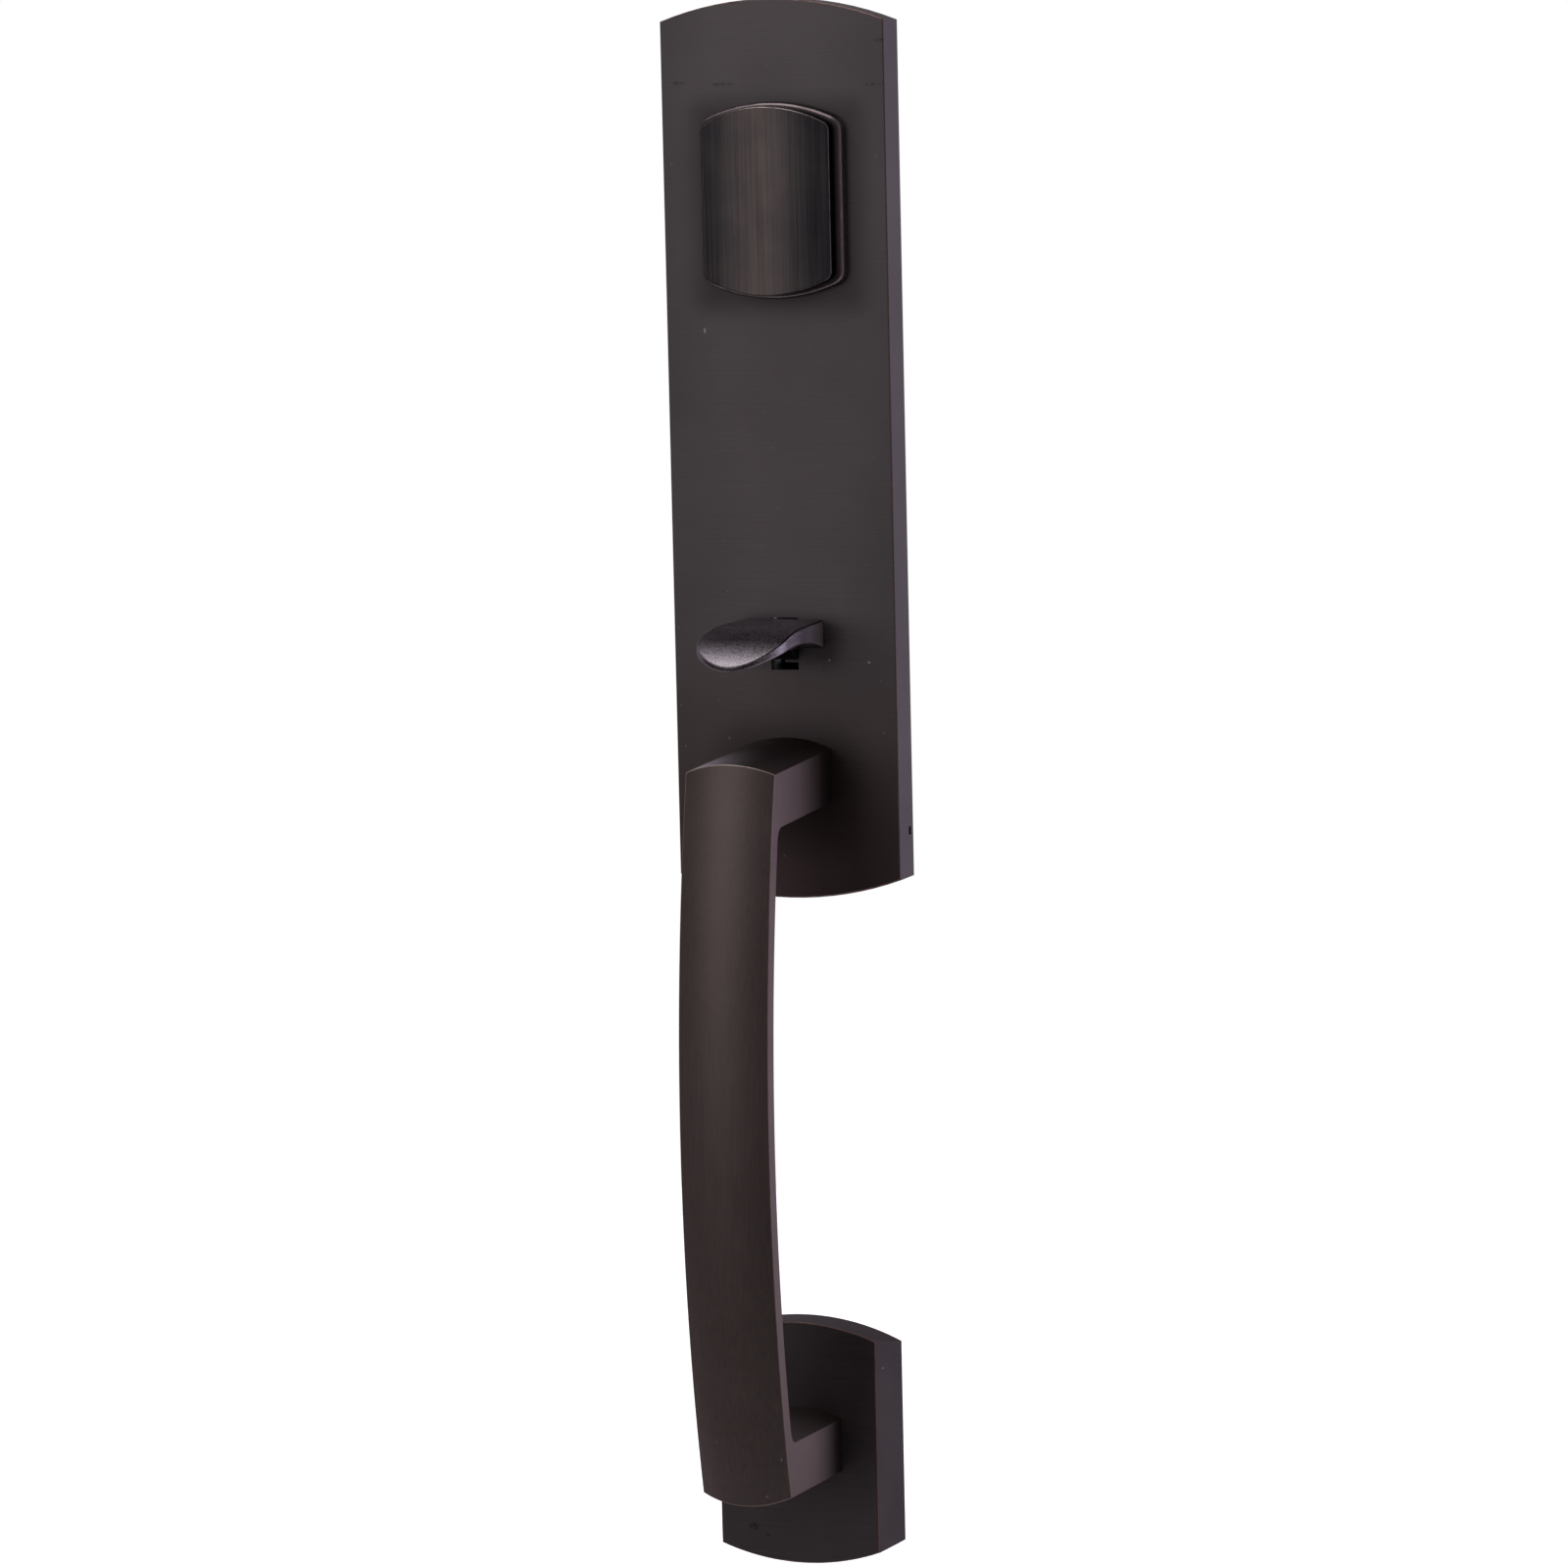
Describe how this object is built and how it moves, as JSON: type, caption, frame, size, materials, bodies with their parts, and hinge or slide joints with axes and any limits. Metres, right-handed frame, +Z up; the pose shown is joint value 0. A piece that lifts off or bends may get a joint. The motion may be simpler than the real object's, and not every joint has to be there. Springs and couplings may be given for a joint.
{
  "type": "entry door handleset",
  "caption": "Exterior entry door handleset: tall arched plate with a crowned swing cover over the keyway, a thumb piece and a bowed pull grip on a lower rosette, in dark oil-rubbed bronze.",
  "frame": {"origin": "where the lock cylinder's axis meets the door's face", "axes": "+X to the right as seen from outside, +Y into the door along the cylinder's axis, +Z up"},
  "size_m": [0.078, 0.1354, 0.4988],
  "materials": {
    "plate_bronze": "oil-rubbed bronze, fine brushed, satin",
    "collar_bronze": "oil-rubbed bronze, satin",
    "cover_bronze": "oil-rubbed bronze, brushed along its height",
    "cast_bronze": "oil-rubbed bronze, cast grain",
    "grip_bronze": "oil-rubbed bronze, satin",
    "cylinder_brass": "turned, bare",
    "plated_steel": "zinc plated",
    "blackened_steel": "black oxide, oiled",
    "spring_steel": "drawn wire and strip"
  },
  "bodies": {
    "frame": {"upper_plate": "plate_bronze", "cylinder_collar": "collar_bronze", "cylinder_body": "cylinder_brass", "driver_pins": "cylinder_brass", "pin_springs": "spring_steel", "pin_chamber_cap": "cylinder_brass", "cylinder_ring_nut": "cylinder_brass", "thumb_bracket": "blackened_steel", "bracket_screws": "blackened_steel", "thumb_pivot_pin": "blackened_steel", "thumb_pin_clips": "blackened_steel", "thumb_return_spring": "spring_steel", "plate_posts": "plated_steel", "grip_handle": "grip_bronze", "grip_top_screw": "plated_steel", "grip_top_washer": "plated_steel", "bottom_rosette": "plate_bronze", "rosette_post": "plated_steel"},
    "cover": {"keyway_cover": "cover_bronze", "cover_pivot_screw": "plated_steel", "cover_spring_washer": "spring_steel"},
    "plug": {"cylinder_plug": "cylinder_brass", "key_pins": "cylinder_brass", "plug_retaining_clip": "plated_steel", "cylinder_tailpiece": "plated_steel", "tailpiece_pin": "plated_steel"},
    "thumb": {"thumb_piece": "cast_bronze"}
  },
  "joints": [
    {"name": "cover_swing", "type": "hinge", "parent": "frame", "child": "cover", "pos_m": [0, -0.012, 0.0235], "axis": [0, 1, 0], "range_deg": [-110, 110]},
    {"name": "plug_turn", "type": "hinge", "parent": "frame", "child": "plug", "pos_m": [0, 0, 0], "axis": [0, 1, 0], "range_deg": [-90, 90]},
    {"name": "thumb_press", "type": "hinge", "parent": "frame", "child": "thumb", "pos_m": [0, 0.001, -0.143], "axis": [1, 0, 0], "range_deg": [0, 16], "stiffness_Nm_per_rad": 0.5, "springref_deg": -11.46, "deforming": ["thumb_return_spring"]}
  ]
}
